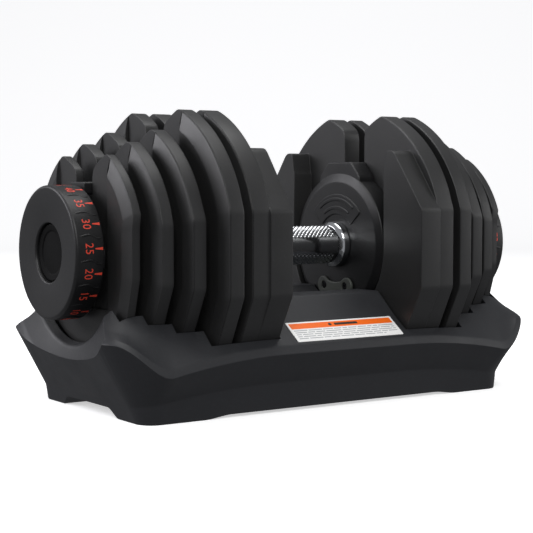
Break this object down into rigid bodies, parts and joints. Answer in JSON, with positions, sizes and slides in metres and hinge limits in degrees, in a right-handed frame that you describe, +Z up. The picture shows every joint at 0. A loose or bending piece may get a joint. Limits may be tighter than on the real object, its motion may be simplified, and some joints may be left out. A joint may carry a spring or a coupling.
{
  "type": "adjustable dumbbell",
  "caption": "Dial-adjustable dumbbell in its storage tray: a chrome grip between guards, notched plates on each side, selector discs and dials.",
  "frame": {"origin": "centre of the tray's footprint, on the floor", "axes": "+X along the handle towards the right end, +Z up, -Y the labelled front of the tray"},
  "size_m": [0.432, 0.23, 0.2382],
  "materials": {
    "plate_casing": "moulded satin charcoal",
    "plate_core": "plain cut steel plate",
    "selector_disc": "moulded glass-filled nylon",
    "dial": "moulded satin black with red numbers",
    "hand_guard": "moulded satin black",
    "lock_cover": "moulded dark grey",
    "chrome": "bright chrome plate, knurled grip",
    "steel": "zinc plated",
    "tray": "fine grained moulded charcoal",
    "label": "printed film, white with an orange band, no words"
  },
  "bodies": {
    "tray": {"tray_shell": "tray", "information_label": "label", "left_plate_1_casing": "plate_casing", "left_plate_1_core": "plate_core", "left_plate_3_casing": "plate_casing", "left_plate_3_core": "plate_core", "left_plate_4_casing": "plate_casing", "left_plate_4_core": "plate_core", "right_plate_1_casing": "plate_casing", "right_plate_1_core": "plate_core", "right_plate_3_casing": "plate_casing", "right_plate_3_core": "plate_core", "right_plate_4_casing": "plate_casing", "right_plate_4_core": "plate_core"},
    "handle": {"grip_tube": "chrome", "axle_rod": "steel", "left_grip_collar": "chrome", "left_hand_guard": "hand_guard", "left_guide_bar": "hand_guard", "left_lock_cover": "lock_cover", "left_cover_screw_front": "steel", "left_cover_screw_rear": "steel", "left_end_nut": "steel", "right_grip_collar": "chrome", "right_hand_guard": "hand_guard", "right_guide_bar": "hand_guard", "right_lock_cover": "lock_cover", "right_cover_screw_front": "steel", "right_cover_screw_rear": "steel", "right_end_nut": "steel"},
    "left_dial": {"left_dial": "dial", "left_dial_cap": "dial", "left_selector_disc_1": "selector_disc", "left_selector_disc_2": "selector_disc", "left_selector_disc_3": "selector_disc", "left_selector_disc_4": "selector_disc", "left_selector_disc_5": "selector_disc"},
    "left_plate_2": {"left_plate_2_casing": "plate_casing", "left_plate_2_core": "plate_core"},
    "left_thick_plate": {"left_thick_plate_casing": "plate_casing", "left_thick_plate_core": "plate_core"},
    "left_lock": {"left_lock_slider": "steel", "left_lock_spring": "steel"},
    "right_dial": {"right_dial": "dial", "right_dial_cap": "dial", "right_selector_disc_1": "selector_disc", "right_selector_disc_2": "selector_disc", "right_selector_disc_3": "selector_disc", "right_selector_disc_4": "selector_disc", "right_selector_disc_5": "selector_disc"},
    "right_plate_2": {"right_plate_2_casing": "plate_casing", "right_plate_2_core": "plate_core"},
    "right_thick_plate": {"right_thick_plate_casing": "plate_casing", "right_thick_plate_core": "plate_core"},
    "right_lock": {"right_lock_slider": "steel", "right_lock_spring": "steel"}
  },
  "joints": [
    {"name": "handle_lift", "type": "slide", "parent": "tray", "child": "handle", "axis": [0, 0, 1], "range_m": [0, 0.3]},
    {"name": "left_dial_turn", "type": "hinge", "parent": "handle", "child": "left_dial", "pos_m": [-0.204, 0, 0.1264], "axis": [1, 0, 0], "continuous": true},
    {"name": "left_plate_2_lift", "type": "slide", "parent": "tray", "child": "left_plate_2", "axis": [0, 0, 1], "range_m": [0, 0.3]},
    {"name": "left_thick_plate_lift", "type": "slide", "parent": "tray", "child": "left_thick_plate", "axis": [0, 0, 1], "range_m": [0, 0.3]},
    {"name": "left_lock_drop", "type": "slide", "parent": "handle", "child": "left_lock", "axis": [0, 0, -1], "range_m": [0, 0.004], "deforming": ["left_lock_spring"]},
    {"name": "right_dial_turn", "type": "hinge", "parent": "handle", "child": "right_dial", "pos_m": [0.204, 0, 0.1264], "axis": [1, 0, 0], "continuous": true},
    {"name": "right_plate_2_lift", "type": "slide", "parent": "tray", "child": "right_plate_2", "axis": [0, 0, 1], "range_m": [0, 0.3]},
    {"name": "right_thick_plate_lift", "type": "slide", "parent": "tray", "child": "right_thick_plate", "axis": [0, 0, 1], "range_m": [0, 0.3]},
    {"name": "right_lock_drop", "type": "slide", "parent": "handle", "child": "right_lock", "axis": [0, 0, -1], "range_m": [0, 0.004], "deforming": ["right_lock_spring"]}
  ],
  "couplings": [
    {"joint": "left_plate_2_lift", "follows": "handle_lift", "ratio": 1},
    {"joint": "left_thick_plate_lift", "follows": "handle_lift", "ratio": 1},
    {"joint": "left_lock_drop", "follows": "handle_lift", "ratio": 0.0133},
    {"joint": "right_plate_2_lift", "follows": "handle_lift", "ratio": 1},
    {"joint": "right_thick_plate_lift", "follows": "handle_lift", "ratio": 1},
    {"joint": "right_lock_drop", "follows": "handle_lift", "ratio": 0.0133}
  ]
}
